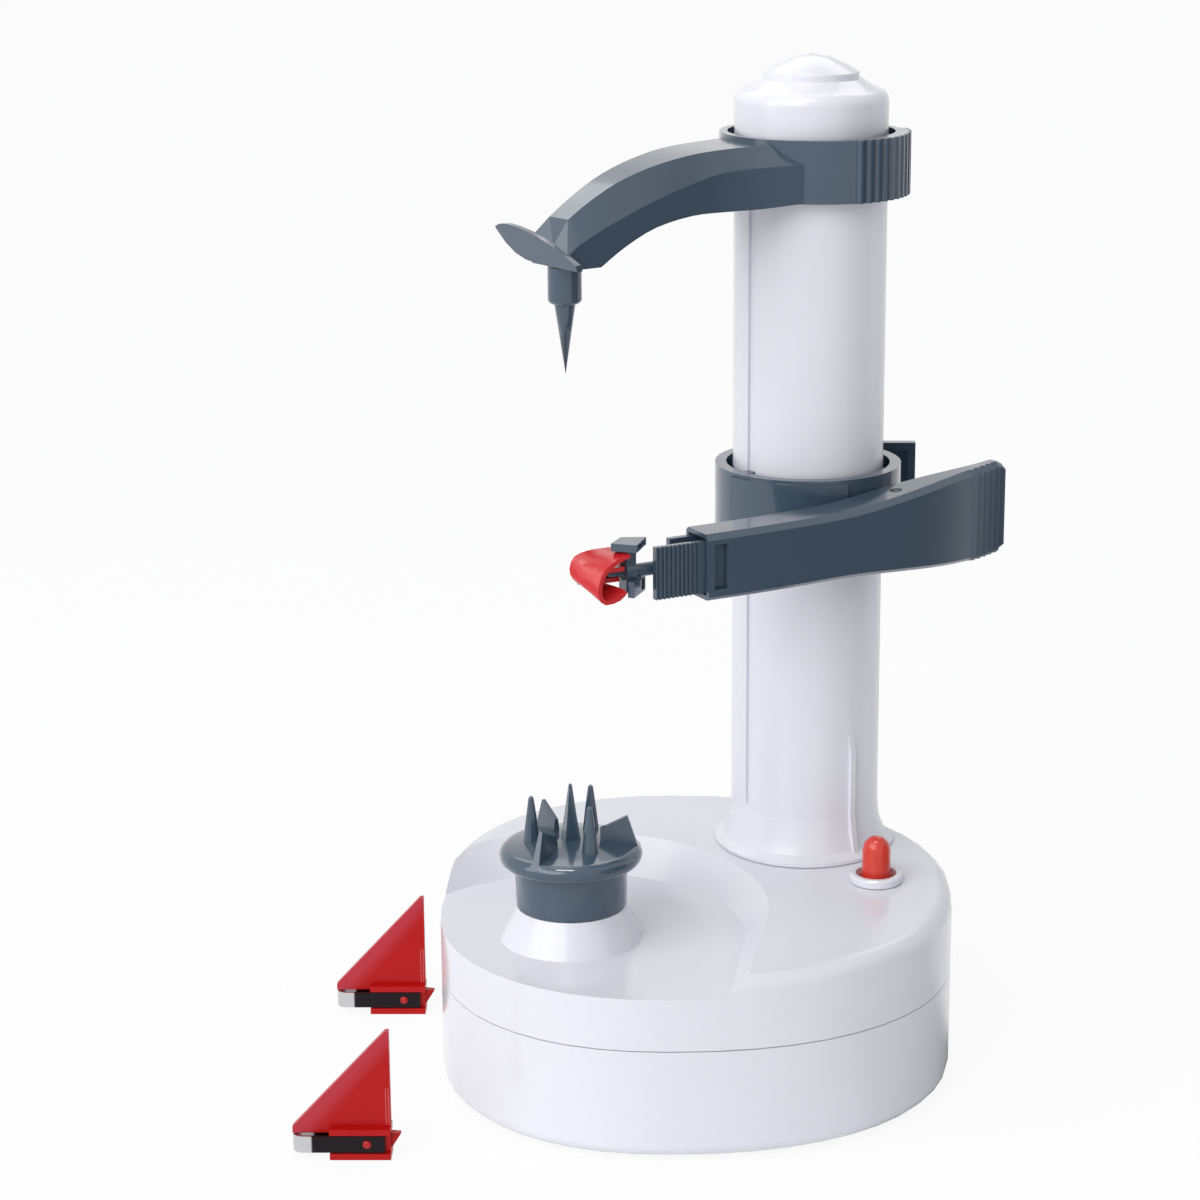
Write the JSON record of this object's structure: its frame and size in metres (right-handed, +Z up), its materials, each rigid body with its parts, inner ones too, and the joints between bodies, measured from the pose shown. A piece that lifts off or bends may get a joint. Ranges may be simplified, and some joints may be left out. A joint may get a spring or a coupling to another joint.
{
  "type": "electric potato peeler",
  "caption": "Electric vegetable peeler: geared turntable with spikes, column with holding arm above and sprung peeling lever below, start button, spare blades.",
  "frame": {"origin": "centre of the bounding box on the surface that the base and the spare blades stand on", "axes": "+Z up along the column, -Y toward the front edge of the base, +X toward the start button and the column"},
  "size_m": [0.201, 0.138, 0.29],
  "materials": {
    "white_plastic": "smooth gloss",
    "slate_plastic": "satin",
    "red_plastic": "smooth gloss",
    "steel": "brushed",
    "brass": "plain",
    "nylon": "natural",
    "rubber": "matte",
    "dark_plastic": "matte",
    "cell_skin": "printed film without any words"
  },
  "bodies": {
    "base": {"lower_housing": "white_plastic", "upper_housing": "white_plastic", "foot_1": "rubber", "foot_2": "rubber", "foot_3": "rubber", "foot_4": "rubber", "housing_screw_1": "steel", "housing_screw_2": "steel", "housing_screw_3": "steel", "housing_screw_4": "steel", "button_ring": "white_plastic", "start_switch": "dark_plastic", "adaptor_jack": "dark_plastic", "battery_cradle": "dark_plastic", "battery_cell_1": "cell_skin", "battery_cell_2": "cell_skin", "battery_cell_3": "cell_skin", "battery_cell_4": "cell_skin", "contact_plate_left": "steel", "contact_plate_right": "steel", "gear_plate": "dark_plastic", "motor": "steel", "idler_shaft": "steel", "turntable_bush": "brass", "screw_top_bearing": "nylon", "column_tube": "white_plastic", "column_cap": "white_plastic", "spare_blade_holder_1": "red_plastic", "spare_blade_steel_1": "steel", "spare_blade_holder_2": "red_plastic", "spare_blade_steel_2": "steel"},
    "button": {"start_button": "red_plastic", "button_spring": "steel"},
    "door": {"battery_door": "white_plastic"},
    "turntable": {"turntable_cup": "slate_plastic", "turntable_shaft": "steel", "turntable_gear": "nylon"},
    "idler": {"idler_gear": "nylon"},
    "screw": {"lead_screw": "steel", "screw_gear": "nylon"},
    "pinion": {"motor_pinion": "brass"},
    "arm": {"upper_arm": "slate_plastic"},
    "spike": {"holding_spike": "slate_plastic"},
    "carriage": {"carriage_ring": "slate_plastic", "screw_follower": "nylon", "pivot_pin": "steel"},
    "lever": {"peeling_lever": "slate_plastic", "front_jaw": "slate_plastic", "rear_jaw": "slate_plastic", "blade_rod": "slate_plastic", "lever_spring": "steel"},
    "blade_head": {"blade_guide": "slate_plastic", "blade_holder": "red_plastic", "blade_steel": "steel"}
  },
  "joints": [
    {"name": "button_press", "type": "slide", "parent": "base", "child": "button", "axis": [0, 0, 1], "range_m": [-0.003, 0], "stiffness_N_per_m": 300, "springref_m": 0.002, "deforming": ["button_spring"]},
    {"name": "door_hinge", "type": "hinge", "parent": "base", "child": "door", "pos_m": [0.00453, 0.02835, 0.00235], "axis": [-1, 0, 0], "range_deg": [0, 100]},
    {"name": "turntable_spin", "type": "hinge", "parent": "base", "child": "turntable", "pos_m": [-0.02524, -0.02194, 0.06], "axis": [0, 0, 1], "continuous": true},
    {"name": "idler_spin", "type": "hinge", "parent": "base", "child": "idler", "pos_m": [0.01172, 0.00868, 0.035], "axis": [0, 0, 1], "continuous": true},
    {"name": "screw_spin", "type": "hinge", "parent": "base", "child": "screw", "pos_m": [0.04253, 0.0342, 0.035], "axis": [0, 0, 1], "continuous": true},
    {"name": "pinion_spin", "type": "hinge", "parent": "base", "child": "pinion", "pos_m": [0.02528, -0.00768, 0.028], "axis": [0, 0, 1], "continuous": true},
    {"name": "arm_slide", "type": "slide", "parent": "base", "child": "arm", "axis": [0, 0, 1], "range_m": [-0.05, 0]},
    {"name": "spike_spin", "type": "hinge", "parent": "arm", "child": "spike", "pos_m": [-0.02524, -0.02194, 0.235], "axis": [0, 0, 1], "continuous": true},
    {"name": "carriage_slide", "type": "slide", "parent": "base", "child": "carriage", "axis": [0, 0, 1], "range_m": [-0.076, 0.026]},
    {"name": "lever_hinge", "type": "hinge", "parent": "carriage", "child": "lever", "pos_m": [0.06657, 0.01016, 0.1586], "axis": [0, 0, 1], "range_deg": [0, 25], "stiffness_Nm_per_rad": 0.12, "springref_deg": -20.05, "deforming": ["lever_spring"]},
    {"name": "blade_tilt", "type": "hinge", "parent": "lever", "child": "blade_head", "pos_m": [-0.00718, -0.03845, 0.1592], "axis": [-0.872, -0.4896, 0], "range_deg": [-12, 12]}
  ],
  "couplings": [
    {"joint": "idler_spin", "follows": "turntable_spin", "ratio": -1},
    {"joint": "screw_spin", "follows": "turntable_spin", "ratio": 1.5},
    {"joint": "pinion_spin", "follows": "turntable_spin", "ratio": 2.4}
  ]
}
